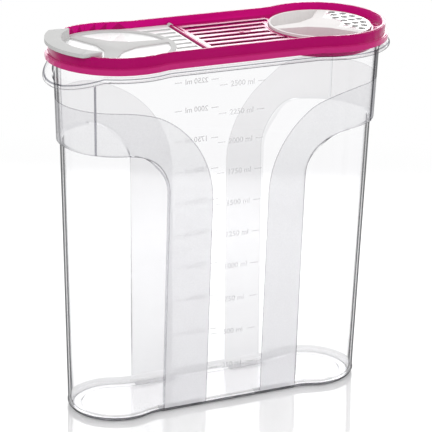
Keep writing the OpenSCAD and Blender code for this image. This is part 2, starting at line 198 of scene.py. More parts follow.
class BandSizes(bpy.types.PropertyGroup):
    """The frosted bands that run up from the base and wrap round the ends"""

    strip_half: FloatProperty(
        name="Half strip", description="Half the width of the clear strip with the scale",
        default=0.0195, unit="LENGTH")
    strip_shift: FloatProperty(
        name="Strip shift", description="How far the clear strip lies off the middle",
        default=0.0020, unit="LENGTH")
    band_top: FloatProperty(
        name="Band top", description="Height of the bands' upper edge", default=0.2092, unit="LENGTH")
    band_corner: FloatProperty(
        name="Band corner", description="Radius of the bands' upper corners",
        default=0.066, unit="LENGTH")


class ScaleSizes(bpy.types.PropertyGroup):
    """The volume scale on the clear strip"""

    tick_end: FloatProperty(
        name="Tick end", description="Distance of the ticks' ends from the middle",
        default=0.0156, unit="LENGTH")
    tick_length: FloatProperty(
        name="Tick length", description="Length of a tick", default=0.0052, unit="LENGTH")
    digit_height: FloatProperty(
        name="Digit height", description="Height of the digits", default=0.0036, unit="LENGTH")
    step: IntProperty(name="Step", description="Volume between marks, in ml", default=250)
    marks: IntProperty(name="Marks", description="Number of marks", default=10)


class Finishes(bpy.types.PropertyGroup):
    """Colours of the plastics, with painted shade, painted light and painted highlights among them"""

    clear_tint: FloatVectorProperty(
        name="Clear plastic", description="What a wall seen square on lets through",
        subtype="COLOR", size=4, default=(0.992, 0.992, 0.994, 1.0))
    clear_edge: FloatVectorProperty(
        name="Clear edge", description="What a wall seen edge on lets through",
        subtype="COLOR", size=4, default=(0.04, 0.04, 0.05, 1.0))
    # Painted shade: a grey tint along the grip panels' edges stands for shade from refraction at the step
    panel_edge_shade: FloatVectorProperty(
        name="Panel edge", description="What the edges of the grip panels let through",
        subtype="COLOR", size=4, default=(0.70, 0.70, 0.72, 1.0))
    # Painted shade: a dark tint round the base's rounded edge stands for shade from refraction there
    base_edge_shade: FloatVectorProperty(
        name="Base edge", description="What the rounded edge of the base lets through",
        subtype="COLOR", size=4, default=(0.16, 0.16, 0.17, 1.0))
    # Painted shade: the dark tint on the flange's lines, the ribs and the panels' top edge stands for
    # shade from refraction
    clear_line: FloatVectorProperty(
        name="Clear moulded edges", description="What rounded edges, steps and ribs let through",
        subtype="COLOR", size=4, default=(0.38, 0.38, 0.41, 1.0))
    frost: FloatVectorProperty(
        name="Frosting", description="Colour of the frosted bands", subtype="COLOR", size=4,
        default=(0.80, 0.80, 0.83, 1.0))
    # Grain colour of the frosting, which also paints shade on the backs of the bands
    frost_grain_and_back_shade: FloatVectorProperty(
        name="Frosting, deep", description="Colour of the frosting's grain and of its back",
        subtype="COLOR", size=4, default=(0.60, 0.60, 0.63, 1.0))
    # Painted shade: dark lines along the frosted bands' edges and the panels' edges
    band_edge_shade: FloatVectorProperty(
        name="Band edge", description="What the edges of the frosted bands let through",
        subtype="COLOR", size=4, default=(0.34, 0.34, 0.36, 1.0))
    marks: FloatVectorProperty(
        name="Marks", description="Colour of the volume marks", subtype="COLOR", size=4,
        default=(0.62, 0.62, 0.64, 1.0))
    lid: FloatVectorProperty(
        name="Lid", description="Colour of the lid", subtype="COLOR", size=4,
        default=(0.40, 0.0, 0.115, 1.0))
    # Painted light: the lid's magenta made paler on the inside of its wall, where light falls on it
    lid_inside_lit: FloatVectorProperty(
        name="Lid, inside", description="Colour of the inside of the lid's wall", subtype="COLOR",
        size=4, default=(0.62, 0.0, 0.21, 1.0))
    # Painted shade: the lid's magenta darkened down in the deck's grooves, where the ridges shade them
    lid_groove_shade: FloatVectorProperty(
        name="Lid, grooves", description="Colour down in the deck's grooves", subtype="COLOR",
        size=4, default=(0.13, 0.0, 0.035, 1.0))
    lid_thin: FloatVectorProperty(
        name="Lid, thin", description="Colour of the lid where light comes through",
        subtype="COLOR", size=4, default=(0.58, 0.03, 0.20, 1.0))
    cap: FloatVectorProperty(
        name="Cap", description="Colour of the flip cap", subtype="COLOR", size=4,
        default=(0.61, 0.61, 0.605, 1.0))
    # Painted highlight, partly real gloss: a paler colour on the glossy faces of the cap and the dial
    polish_highlight: FloatVectorProperty(
        name="Polished", description="Colour of the polished faces of the cap and the dial",
        subtype="COLOR", size=4, default=(0.86, 0.86, 0.86, 1.0))
    dial: FloatVectorProperty(
        name="Dial", description="Colour of the dispenser dial", subtype="COLOR", size=4,
        default=(0.78, 0.755, 0.75, 1.0))
    # Painted shade inside the sprinkling holes
    holes: FloatVectorProperty(
        name="Holes", description="Colour inside the sprinkling holes", subtype="COLOR", size=4,
        default=(0.50, 0.50, 0.49, 1.0))
    floor: FloatVectorProperty(
        name="Floor", description="Colour of the floor", subtype="COLOR", size=4,
        default=(0.80, 0.80, 0.805, 1.0))


class FinishPlaces(bpy.types.PropertyGroup):
    """Where one finish, painted shade or painted highlight of the lid, the cap or the dial ends
    and the next begins
    """

    skirt_top: FloatProperty(
        name="Skirt top", description="Height below which the lid is thin", default=0.2378,
        unit="LENGTH")
    skirt_fade: FloatProperty(
        name="Skirt fade", description="Height over which the thin colour fades", default=0.001,
        unit="LENGTH")
    wall_low: FloatProperty(
        name="Wall foot", description="Height above which the lid's wall starts", default=0.2403,
        unit="LENGTH")
    groove_low: FloatProperty(
        name="Groove floor", description="Lowest height of the deck's grooves", default=0.2393,
        unit="LENGTH")
    groove_top: FloatProperty(
        name="Groove top", description="Highest height of the deck's grooves", default=0.24015,
        unit="LENGTH")
    deck_left: FloatProperty(
        name="Deck start", description="Where the ribbed deck starts", default=-0.0172,
        unit="LENGTH")
    deck_right: FloatProperty(
        name="Deck end", description="Where the ribbed deck ends", default=0.042, unit="LENGTH")
    deck_half: FloatProperty(
        name="Half deck", description="Half the width of the ribbed deck", default=0.0345,
        unit="LENGTH")
    dish_floor: FloatProperty(
        name="Dish floor", description="Height of the cap's dished floor", default=0.2399,
        unit="LENGTH")
    dish_reach: FloatProperty(
        name="Dish radius", description="Radius of the cap's dished floor", default=0.0345,
        unit="LENGTH")
    ridge_top: FloatProperty(
        name="Ridge tops", description="Height of the cap's ridges", default=0.2404, unit="LENGTH")
    plate_in: FloatProperty(
        name="Plate start", description="Distance from the hub at which the perforated plate starts",
        default=0.0135, unit="LENGTH")
    plate_half: FloatProperty(
        name="Half plate", description="Half the angle of the perforated plate", default=0.95,
        subtype="ANGLE")


def sizes():
    """The scene's settings"""
    return bpy.context.scene.cereal_container


class ContainerSettings(bpy.types.PropertyGroup):
    """All the sizes and colours"""

    outline: PointerProperty(type=OutlineSizes)
    vessel: PointerProperty(type=VesselSizes)
    band: PointerProperty(type=BandSizes)
    scale: PointerProperty(type=ScaleSizes)
    finish: PointerProperty(type=Finishes)
    places: PointerProperty(type=FinishPlaces)


# Shader helpers

def node(tree, kind, inputs=None, **settings):
    """A node with its settings, and its inputs set or linked by name or number"""
    made = tree.nodes.new(kind)
    for key, value in settings.items():
        setattr(made, key, value)
    for key, value in (inputs or {}).items():
        socket = made.inputs[key]
        if isinstance(value, bpy.types.NodeSocket):
            tree.links.new(value, socket)
        else:
            socket.default_value = value
    return made


def maths(tree, operation, *values, clamp=False):
    """The output of a Math node"""
    made = node(tree, "ShaderNodeMath", dict(enumerate(values)), operation=operation)
    made.use_clamp = clamp
    return made.outputs[0]


def blend_colour(tree, share, first, second):
    """The output of a node that mixes two colours"""
    return node(tree, "ShaderNodeMix", {0: share, 6: first, 7: second}, data_type="RGBA").outputs[2]


def blend_shader(tree, share, first, second):
    """The output of a node that mixes two shaders"""
    return node(tree, "ShaderNodeMixShader", {0: share, 1: first, 2: second}).outputs[0]


def map_range(tree, value, low, high, at_low, at_high, curve="LINEAR"):
    """The output of a Map Range node"""
    return node(tree, "ShaderNodeMapRange", {
        "Value": value, "From Min": low, "From Max": high, "To Min": at_low, "To Max": at_high},
        interpolation_type=curve).outputs["Result"]


def bump(tree, height, strength, depth):
    """The normal of a Bump node"""
    return node(tree, "ShaderNodeBump", {
        "Height": height, "Strength": strength, "Distance": depth}).outputs["Normal"]


def axes(tree):
    """The X, Y and Z of the object's own coordinates"""
    place = node(tree, "ShaderNodeTexCoord").outputs["Object"]
    return node(tree, "ShaderNodeSeparateXYZ", {"Vector": place}).outputs


def distance(tree, x, y):
    """How far the point x, y is from the middle"""
    squares = [maths(tree, "MULTIPLY", value, value) for value in (x, y)]
    return maths(tree, "SQRT", maths(tree, "ADD", *squares))


def facing(tree):
    """How edge on a face is seen, from 0 for square on to 1"""
    return node(tree, "ShaderNodeLayerWeight", {"Blend": 0.5}).outputs["Facing"]


def grazing(tree, edge_on, least, most):
    """Share of light that a glossy surface mirrors, from how edge on it is seen"""
    rise = maths(tree, "MULTIPLY", maths(tree, "POWER", edge_on, 4.0), most)
    return maths(tree, "ADD", rise, least, clamp=True)


def by_side(tree, behind, from_front, from_behind):
    """A value that differs between the front and the back of a face"""
    change = maths(tree, "MULTIPLY", behind, from_behind - from_front)
    return maths(tree, "ADD", from_front, change)


def seen(tree):
    """1 for rays from the camera, off glossy faces and through clear ones, and 0 for the rest"""
    path = node(tree, "ShaderNodeLightPath").outputs
    return maths(tree, "MAXIMUM", path["Is Camera Ray"],
                 maths(tree, "MAXIMUM", path["Is Glossy Ray"], path["Is Transmission Ray"]))


def new_group(name, inputs, outputs):
    """A shader node group with named sockets"""
    tree = bpy.data.node_groups.new(name, "ShaderNodeTree")
    for label, kind, value in inputs:
        tree.interface.new_socket(name=label, in_out="INPUT", socket_type=kind).default_value = value
    for label, kind in outputs:
        tree.interface.new_socket(name=label, in_out="OUTPUT", socket_type=kind)
    return tree, tree.nodes.new("NodeGroupInput"), tree.nodes.new("NodeGroupOutput")


def new_material(name):
    """An empty node material, its tree and its output"""
    material = bpy.data.materials.new(name)
    material.use_nodes = True
    tree = material.node_tree
    tree.nodes.clear()
    return material, tree, tree.nodes.new("ShaderNodeOutputMaterial")


def moulded_grain():
    """Flow marks and a fine grain, as on moulded plastic"""
    if "Moulded grain" in bpy.data.node_groups:
        return bpy.data.node_groups["Moulded grain"]
    tree, given, result = new_group(
        "Moulded grain",
        [("Flow Size", "NodeSocketFloat", 0.05), ("Grain Size", "NodeSocketFloat", 0.0006),
         ("Roughness", "NodeSocketFloat", 0.2), ("Variation", "NodeSocketFloat", 0.05)],
        [("Roughness", "NodeSocketFloat"), ("Height", "NodeSocketFloat"), ("Flow", "NodeSocketFloat")])
    place = node(tree, "ShaderNodeTexCoord").outputs["Object"]
    flow_scale = maths(tree, "DIVIDE", 1.0, given.outputs["Flow Size"])
    grain_scale = maths(tree, "DIVIDE", 1.0, given.outputs["Grain Size"])
    flow = node(tree, "ShaderNodeTexNoise", {
        "Vector": place, "Scale": flow_scale, "Detail": 3.0, "Distortion": 0.8}).outputs["Fac"]
    fine = node(tree, "ShaderNodeTexNoise", {
        "Vector": place, "Scale": grain_scale, "Detail": 2.0}).outputs["Fac"]
    rough = given.outputs["Roughness"]
    for noise in (flow, fine):
        centred = maths(tree, "SUBTRACT", noise, 0.5)
        rough = maths(tree, "ADD", rough, maths(tree, "MULTIPLY", centred, given.outputs["Variation"]),
                      clamp=noise is fine)
    tree.links.new(rough, result.inputs["Roughness"])
    tree.links.new(fine, result.inputs["Height"])
    tree.links.new(flow, result.inputs["Flow"])
    return tree


def place_grain(tree, values):
    """The outputs of the moulded grain, placed in a material with its own values"""
    return node(tree, "ShaderNodeGroup", values, node_tree=moulded_grain()).outputs


def corner_distance(tree, across, height, left, top, radius):
    """Distance outside a region right of left and below top, whose corner is rounded"""
    x = maths(tree, "SUBTRACT", left + radius, across)
    z = maths(tree, "SUBTRACT", height, top - radius)
    far = distance(tree, maths(tree, "MAXIMUM", x, 0.0), maths(tree, "MAXIMUM", z, 0.0))
    near = maths(tree, "MINIMUM", maths(tree, "MAXIMUM", x, z), 0.0)
    return maths(tree, "SUBTRACT", maths(tree, "ADD", far, near), radius)


def frosted_bands(tree):
    """Masks of the frosted bands and of the thin lines of painted shade along their edges"""
    band, vessel = sizes().band, sizes().vessel
    place = axes(tree)
    across = maths(tree, "ABSOLUTE", place["X"])
    shifted = maths(tree, "ABSOLUTE", maths(tree, "SUBTRACT", place["X"], band.strip_shift))
    outer = corner_distance(tree, shifted, place["Z"], band.strip_half, band.band_top,
                            band.band_corner)
    inner = corner_distance(tree, across, place["Z"], vessel.panel_in, vessel.panel_top,
                            vessel.panel_corner)
    inside = maths(tree, "SUBTRACT", 0.5, maths(tree, "DIVIDE", outer, BAND_SOFTNESS), clamp=True)
    beyond = maths(tree, "ADD", 0.5, maths(tree, "DIVIDE", inner, BAND_SOFTNESS), clamp=True)
    nearest = maths(tree, "MINIMUM", maths(tree, "ABSOLUTE", outer),
                    maths(tree, "MULTIPLY", maths(tree, "ABSOLUTE", inner), PANEL_SHADE_LINE_SHARE))
    line = maths(tree, "SUBTRACT", 1.0, maths(tree, "DIVIDE", nearest, BAND_SHADE_LINE), clamp=True)
    line = maths(tree, "MULTIPLY", line, maths(tree, "MAXIMUM", inside, beyond))
    return maths(tree, "MULTIPLY", inside, beyond), line


def frosting(tree, clear, behind):
    """The frosted bands over clear plastic, fainter from behind and thinner near the top, and
    darkened from behind as painted shade
    """
    finish = sizes().finish
    mask, outline = frosted_bands(tree)
    grain = place_grain(tree, {"Roughness": 0.55, "Grain Size": 0.0009, "Variation": 0.2})
    # The grain darkens the frosting in spots, and seen from behind it takes the deep colour as painted
    # shade
    deeper = maths(tree, "ADD", maths(tree, "MULTIPLY", grain["Height"], 0.6), behind, clamp=True)
    frost = node(tree, "ShaderNodeBsdfPrincipled", {
        "Base Color": blend_colour(tree, deeper, finish.frost, finish.frost_grain_and_back_shade),
        "Roughness": grain["Roughness"], "Normal": bump(tree, grain["Height"], 0.25, 0.0003)})
    upper = map_range(tree, axes(tree)["Z"], *FROST_FADE)
    dense = maths(tree, "MULTIPLY", by_side(tree, behind, *BAND_COVER), upper)
    cover = maths(tree, "MULTIPLY", mask, dense)
    # Painted shade: dark lines along the bands' edges and the panels' edge, fainter from behind
    edge = node(tree, "ShaderNodeBsdfTransparent", {"Color": finish.band_edge_shade})
    drawn = maths(tree, "MULTIPLY", outline, by_side(tree, behind, *SHADE_LINE_COVER))
    frosted = blend_shader(tree, cover, clear, frost.outputs[0])
    return blend_shader(tree, drawn, frosted, edge.outputs[0])


def clear_plastic(name, tint, frosted=False):
    """Clear plastic that darkens where it is seen edge on, with frosted bands if asked"""
    finish = sizes().finish
    material, tree, out = new_material(name)
    grain = place_grain(tree, {"Roughness": 0.04, "Variation": 0.03})
    edge_on = facing(tree)
    soft = map_range(tree, edge_on, *SOFT_DARKENING, "SMOOTHSTEP")
    steep = map_range(tree, edge_on, *STEEP_DARKENING, "SMOOTHSTEP")
    behind = node(tree, "ShaderNodeNewGeometry").outputs["Backfacing"]
    paler = blend_colour(tree, maths(tree, "MULTIPLY", behind, PALER_BEHIND), tint,
                         finish.clear_tint)
    body = node(tree, "ShaderNodeVectorMath", {"Vector": paler, "Scale": soft}, operation="SCALE")
    window = node(tree, "ShaderNodeBsdfTransparent", {
        "Color": blend_colour(tree, steep, body.outputs["Vector"], finish.clear_edge)})
    gloss = node(tree, "ShaderNodeBsdfPrincipled", {
        "Base Color": (0.9, 0.9, 0.92, 1.0), "Roughness": grain["Roughness"], "Metallic": 1.0,
        "Normal": bump(tree, grain["Flow"], 0.04, 0.002)})
    surface = blend_shader(tree, grazing(tree, edge_on, *CLEAR_GLOSS), window.outputs[0],
                           gloss.outputs[0])
    if frosted:
        surface = frosting(tree, surface, behind)
    tree.links.new(surface, out.inputs["Surface"])
    return material


def moulded_plastic(name, colour, roughness, specular=0.5):
    """Opaque moulded plastic with faint flow marks"""
    material, tree, out = new_material(name)
    grain = place_grain(tree, {"Roughness": roughness, "Variation": 0.08})
    deeper = tuple(c * 0.9 for c in colour[:3]) + (1.0,)
    shader = node(tree, "ShaderNodeBsdfPrincipled", {
        "Base Color": blend_colour(tree, maths(tree, "MULTIPLY", grain["Flow"], 0.5), colour, deeper),
        "Roughness": grain["Roughness"], "Specular IOR Level": specular,
        "Normal": bump(tree, grain["Height"], 0.05, 0.0002)})
    tree.links.new(shader.outputs[0], out.inputs["Surface"])
    return material


def frosted_marks():
    """The frosted face of the volume marks"""
    material, tree, out = new_material("Frosted marks")
    grain = place_grain(tree, {"Roughness": 0.5})
    shader = node(tree, "ShaderNodeBsdfPrincipled", {
        "Base Color": sizes().finish.marks, "Roughness": grain["Roughness"], "Alpha": 0.25})
    tree.links.new(shader.outputs[0], out.inputs["Surface"])
    return material


def dial_plastic():
    """The dial's satin plastic, with a polish and a paler colour as a painted highlight on top of
    the plate with the sprinkling holes, and darker in the holes as painted shade
    """
    finish, places = sizes().finish, sizes().places
    material, tree, out = new_material("Pale dial")
    grain = place_grain(tree, {"Roughness": 0.65, "Variation": 0.08})
    place = axes(tree)
    normal = node(tree, "ShaderNodeTexCoord").outputs["Normal"]
    up = node(tree, "ShaderNodeSeparateXYZ", {"Vector": normal}).outputs["Z"]
    x = maths(tree, "SUBTRACT", place["X"], sizes().outline.lobe_x)
    turned = maths(tree, "ABSOLUTE", maths(tree, "ARCTAN2", place["Y"], x))
    out_there = map_range(tree, distance(tree, x, place["Y"]), places.plate_in,
                          places.plate_in + 0.0006, 0.0, 1.0)
    within = map_range(tree, turned, places.plate_half - 0.03, places.plate_half, 1.0, 0.0)
    # Up-facing faces of the plate get the painted highlight, and the walls of its holes the painted shade
    level = map_range(tree, up, 0.8, 0.9, 0.0, 1.0)
    plate = maths(tree, "MULTIPLY", out_there, within)
    polish_highlight = maths(tree, "MULTIPLY", plate, level)
    # The walls of the holes take the dark colour of painted shade
    hole_shade_mask = maths(tree, "MULTIPLY", plate, maths(tree, "SUBTRACT", 1.0, level))
    satin = blend_colour(tree, hole_shade_mask, finish.dial, finish.holes)
    shader = node(tree, "ShaderNodeBsdfPrincipled", {
        "Base Color": blend_colour(tree, polish_highlight, satin, finish.polish_highlight),
        "Roughness": map_range(tree, polish_highlight, 0.0, 1.0, grain["Roughness"], 0.12),
        "Specular IOR Level": 0.25})
    tree.links.new(shader.outputs[0], out.inputs["Surface"])
    return material


def tinted_plastic(name, colour, roughness=0.10):
    """The lid's tinted plastic, paler in the skirt that light comes through, with a gloss"""
    finish, places = sizes().finish, sizes().places
    material, tree, out = new_material(name)
    grain = place_grain(tree, {"Roughness": roughness, "Variation": 0.06})
    skirt = map_range(tree, axes(tree)["Z"], places.skirt_top, places.skirt_top + places.skirt_fade,
                      1.0, 0.0)
    thin = maths(tree, "ADD", maths(tree, "MULTIPLY", skirt, 0.75),
                 maths(tree, "MULTIPLY", grain["Flow"], 0.25), clamp=True)
    ripple = bump(tree, grain["Flow"], 0.03, 0.001)
    body = node(tree, "ShaderNodeBsdfPrincipled", {
        "Base Color": blend_colour(tree, thin, colour, finish.lid_thin),
        "Roughness": grain["Roughness"], "Specular IOR Level": 0.0, "Normal": ripple})
    gloss = node(tree, "ShaderNodeBsdfPrincipled", {
        "Base Color": (1.0, 0.96, 0.98, 1.0), "Metallic": 1.0, "Roughness": grain["Roughness"],
        "Normal": ripple})
    surface = blend_shader(tree, grazing(tree, facing(tree), *LID_GLOSS), body.outputs[0],
                           gloss.outputs[0])
    tree.links.new(surface, out.inputs["Surface"])
    return material


# Mesh helpers

def finish_piece(bm, name, body, nodes, materials, smooth_angle=math.radians(35)):
    """Makes a piece of a bmesh, shades it, and lets it ride on its body"""
    mesh = bpy.data.meshes.new(name)
    bm.to_mesh(mesh)
    bm.free()
    piece = bpy.data.objects.new(name, mesh)
    bpy.context.scene.collection.objects.link(piece)
    for material in materials:
        mesh.materials.append(material)
    mesh.shade_smooth()
    mesh.set_sharp_from_angle(angle=smooth_angle)
    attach(piece, body)
    if nodes:
        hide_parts(*nodes)
    return piece


def rounded_copy(name, piece_name, body, width, materials, choose=None):
    """A merged copy of a CAD node with softened edges, which stands for it"""
    bm = bmesh.new()
    bm.from_mesh(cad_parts[name].data)
    bmesh.ops.remove_doubles(bm, verts=bm.verts[:], dist=2e-6)
    for face in bm.faces:
        face.material_index = choose(face) if choose else 0
    piece = finish_piece(bm, piece_name, body, [name], materials)
    bevel = piece.modifiers.new("Soft edges", "BEVEL")
    bevel.width = width
    bevel.segments = 2
    bevel.limit_method = "ANGLE"
    bevel.angle_limit = math.radians(40)
    bevel.miter_outer = "MITER_ARC"
    bevel.harden_normals = True


def outline_marks():
    """Where the straight waist ends, how far the blend turns, and where the round end starts"""
    outline = sizes().outline
    reach = outline.end_radius + outline.blend_radius
    turn = math.acos((outline.waist_half + outline.blend_radius) / reach)
    blend_x = outline.lobe_x - reach * math.sin(turn)
    return blend_x, turn, blend_x + outline.blend_radius * turn


def quarter_length():
    """Arc length of one quarter of the outline"""
    _, turn, lobe_s = outline_marks()
    return lobe_s + sizes().outline.end_radius * (math.pi / 2 + turn)


def point_on_outline(s, d):
    """Point of one quarter of the outline, at arc length s and moved out by d"""
    outline = sizes().outline
    blend_x, turn, lobe_s = outline_marks()
    if s <= blend_x:
        return Vector((s, outline.waist_half + d, 0))
    if s <= lobe_s:
        a = (s - blend_x) / outline.blend_radius
        r = outline.blend_radius - d
        return Vector((blend_x + r * math.sin(a),
                       outline.waist_half + outline.blend_radius - r * math.cos(a), 0))
    a = math.pi / 2 + turn - (s - lobe_s) / outline.end_radius
    r = outline.end_radius + d
    return Vector((outline.lobe_x + r * math.cos(a), r * math.sin(a), 0))


def spread(start, stop, count):
    """Even steps from start, without the stop"""
    return [start + (stop - start) * i / count for i in range(count)]


def stations(edge):
    """Arc lengths round one quarter, with a column on either side of the panel's edge and a rib"""
    vessel, outline = sizes().vessel, sizes().outline
    end = quarter_length()
    rib = end - outline.end_radius * vessel.rib_angle
    foot, crest = vessel.rib_width / 2 + RIB_FOOT, vessel.rib_width / 2
    return (spread(0.0, edge, STRAIGHT_STEPS) + [edge]
            + spread(edge + EDGE_WIDTH, rib - foot, SHOULDER_STEPS)
            + [rib - foot, rib - crest, rib + crest]
            + spread(rib + foot, end, TIP_STEPS) + [end])


def ring_places(count):
    """Quarter index and signs of x and y of the points all the way round"""
    last = count - 1
    return ([(i, 1, 1) for i in range(last, -1, -1)] + [(i, -1, 1) for i in range(1, last + 1)]
            + [(i, -1, -1) for i in range(last - 1, -1, -1)] + [(i, 1, -1) for i in range(1, last)])


def sweep_rings(bm, rings):
    """Extrudes a ring of points through a stack of rings"""
    first = [bm.verts.new(p) for p in rings[0]]
    edges = [bm.edges.new((first[i], first[(i + 1) % len(first)])) for i in range(len(first))]
    rows = [first]
    for ring in rings[1:]:
        made = bmesh.ops.extrude_edge_only(bm, edges=edges)["geom"]
        edges = [e for e in made if isinstance(e, bmesh.types.BMEdge)
                 and all(v not in rows[-1] for v in e.verts)]
        new_verts = set(v for e in edges for v in e.verts)
        follows = {e.other_vert(v): v for v in new_verts for e in v.link_edges
                   if e.other_vert(v) not in new_verts}
        row = [follows[v] for v in rows[-1]]
        for v, p in zip(row, ring):
            v.co = p
        rows.append(row)
    return rows


def wall_offset(z):
    """Offset of the vessel's wall at a height, from its draft"""
    vessel = sizes().vessel
    return -vessel.inset - vessel.taper * (1 - z / vessel.flange_low)


def panel_depth(z):
    """Depth of the grip panels at a height"""
    vessel = sizes().vessel
    return vessel.panel_shallow + (vessel.panel_deep - vessel.panel_shallow) * z / vessel.panel_top


def vessel_ring(z, d, deep=0.0, edge=None, dip_start=None, rib=0.0):
    """One ring of the vessel, with its grip panels, ribs and the dip of the finger grip"""
    vessel = sizes().vessel
    edge = vessel.panel_in + vessel.panel_corner if edge is None else edge
    along = stations(edge)
    ring = []
    for i, x_sign, y_sign in ring_places(len(along)):
        out = d - (deep if i > STRAIGHT_STEPS else 0.0) + (rib if i in RIB_COLUMNS[1:] else 0.0)
        p = point_on_outline(along[i], out)
        x = p.x * x_sign
        dip = 0.0
        if dip_start is not None:
            dip = max(0.0, -x - dip_start) * math.tan(vessel.grip_slope)
        ring.append(Vector((x, p.y * y_sign, z - dip)))
    return ring


def round_rings(z, d, radius, start, stop, steps, **more):
    """Rings round a rounded edge whose centre is at height z and offset d"""
    rings = []
    for i in range(steps + 1):
        a = math.radians(start + (stop - start) * i / steps)
        rings.append(vessel_ring(z + radius * math.sin(a), d + radius * math.cos(a), **more))
    return rings


def panel_rings(inset, low):
    """Rings up the wall, whose panel edge runs up and round the corner"""
    vessel = sizes().vessel
    radius = vessel.panel_corner
    corner_z, corner_s = vessel.panel_top - radius, vessel.panel_in + radius
    rows = [(low + (corner_z - low) * i / PANEL_STEPS, vessel.panel_in)
            for i in range(PANEL_STEPS + 1)]
    for angle in PANEL_CORNER_ANGLES:
        a = math.radians(angle)
        rows.append((corner_z + radius * math.sin(a), corner_s - radius * math.cos(a)))
    return [vessel_ring(z, wall_offset(z) - inset, panel_depth(z), s) for z, s in rows]


def outside_rings():
    """Rings up the outside, from under the base to the rim, and the rows of its edges"""
    vessel = sizes().vessel
    start = wall_offset(0.0) - vessel.base_edge
    foot = start - vessel.foot_ring
    low = dict(edge=vessel.panel_in)
    rings = [vessel_ring(vessel.base_hollow, foot - FOOT_SLOPE, **low),
             vessel_ring(vessel.base_hollow, foot, **low),
             vessel_ring(0.0, foot + FOOT_SLOPE, **low)]
    rows = {"base": range(len(rings), len(rings) + BASE_STEPS)}
    rings += round_rings(vessel.base_edge, start, vessel.base_edge, *EDGE_ARC, BASE_STEPS,
                         deep=vessel.panel_shallow / 2, **low)
    first = len(rings)
    rings += panel_rings(0.0, vessel.base_edge)
    rows["panel"] = range(first, len(rings) - 1)
    rings += [vessel_ring(z, wall_offset(z), rib=vessel.rib_out)
              for z in (vessel.panel_top + PANEL_STEP, *SHOULDER_HEIGHTS)]
    rows["rib"] = range(rows["panel"].stop + 1, len(rings))

    wall = -vessel.inset
    dip = dict(dip_start=vessel.grip_start)
    dip_top = dict(dip_start=vessel.grip_start + GRIP_SHIFT)
    radius = (vessel.flange_top - vessel.flange_low) / 2
    rings += [vessel_ring(vessel.rib_top, wall_offset(vessel.rib_top), rib=vessel.rib_out, **dip),
              vessel_ring(vessel.flange_low, wall + FLANGE_FILLET, **dip),
              vessel_ring(vessel.flange_low, vessel.flange_out - radius * 1.4, **dip)]
    # The flange's rows that take the lines of painted shade
    rows["flange"] = [len(rings) + line for line in FLANGE_LINES]
    rings += round_rings(vessel.flange_low + radius, vessel.flange_out - radius, radius, -90, 90,
                         FLANGE_STEPS, **dip_top)
    rings += [vessel_ring(vessel.flange_top, wall + FLANGE_FILLET, **dip_top),
              vessel_ring(vessel.flange_top + FLANGE_FILLET, wall),
              vessel_ring(vessel.height - BEAD_START, wall)]
    rings += round_rings(vessel.height - BEAD_CENTRE, wall + vessel.bead - BEAD_RADIUS, BEAD_RADIUS,
                         -90, 90, BEAD_STEPS)
    rings += [vessel_ring(vessel.height, wall - vessel.wall * 0.3)]
    return rings, rows


def inside_rings():
    """Rings down the inside, from the rim to the floor"""
    vessel = sizes().vessel
    wall = -vessel.inset - vessel.wall
    start = wall_offset(0.0) - vessel.base_edge
    low = dict(edge=vessel.panel_in)
    _, middle, upper = SHOULDER_HEIGHTS
    rings = [vessel_ring(vessel.height - INNER_RIM_EDGE, wall), vessel_ring(vessel.flange_low, wall)]
    rings += [vessel_ring(z, wall_offset(z) - vessel.wall)
              for z in (upper, middle, vessel.panel_top + PANEL_STEP)]
    rings += reversed(panel_rings(vessel.wall, vessel.base_edge + vessel.floor))
    rings += reversed(round_rings(
        vessel.base_edge + vessel.floor * 0.6, start, vessel.base_edge - vessel.wall, *EDGE_ARC,
        INNER_STEPS, deep=vessel.panel_shallow / 2, **low))
    rings += [vessel_ring(vessel.floor, start - FLOOR_EDGE, **low)]
    return rings


def plastic_of(row, column, rows):
    """Material slot of a face of the vessel's outside: frosted, or a painted shade line along an edge"""
    # The rows round the base's edge take a dark tint of painted shade
    if row in rows["base"]:
        return BASE_EDGE_SHADE
    # The faces along the panels' edge take a tint of painted shade
    if column == STRAIGHT_STEPS and row in rows["panel"]:
        return PANEL_EDGE_SHADE
    # The panels' top edge, the ribs and the flange's lines take the painted shade of moulded edges
    over_panel = row == rows["panel"].stop and column >= STRAIGHT_STEPS
    on_rib = column in RIB_COLUMNS and row in rows["rib"]
    return MOULDED_EDGE_SHADE if over_panel or on_rib or row in rows["flange"] else FROSTED


def build_vessel():
    """The clear vessel, outside and inside"""
    finish = sizes().finish
    outer, edge_rows = outside_rings()
    bm = bmesh.new()
    rows = sweep_rings(bm, outer + inside_rings())
    for ring in (rows[0], rows[-1]):
        bmesh.ops.contextual_create(bm, geom=ring)
    bmesh.ops.recalc_face_normals(bm, faces=bm.faces[:])
    columns = [i for i, _, _ in ring_places(len(stations(sizes().vessel.panel_in)))]
    where = {v: (row, i) for row, ring in enumerate(rows) for v, i in zip(ring, columns)}
    for face in bm.faces:
        row = min(where[v][0] for v in face.verts)
        column = min(where[v][1] for v in face.verts)
        closes = all(where[v][0] == row for v in face.verts)
        outside = row < len(outer) - 1 and not closes
        face.material_index = plastic_of(row, column, edge_rows) if outside else CLEAR
    finish_piece(bm, "vessel_shell", "body", ["vessel"],
                 [clear_plastic("Clear and frosted plastic", finish.clear_tint, True),
                  clear_plastic("Clear plastic", finish.clear_tint),
                  clear_plastic("Painted shade, clear moulded edge", finish.clear_line),
                  clear_plastic("Painted shade, clear panel edge", finish.panel_edge_shade),
                  clear_plastic("Painted shade, clear base edge", finish.base_edge_shade)],
                 smooth_angle=math.radians(28))


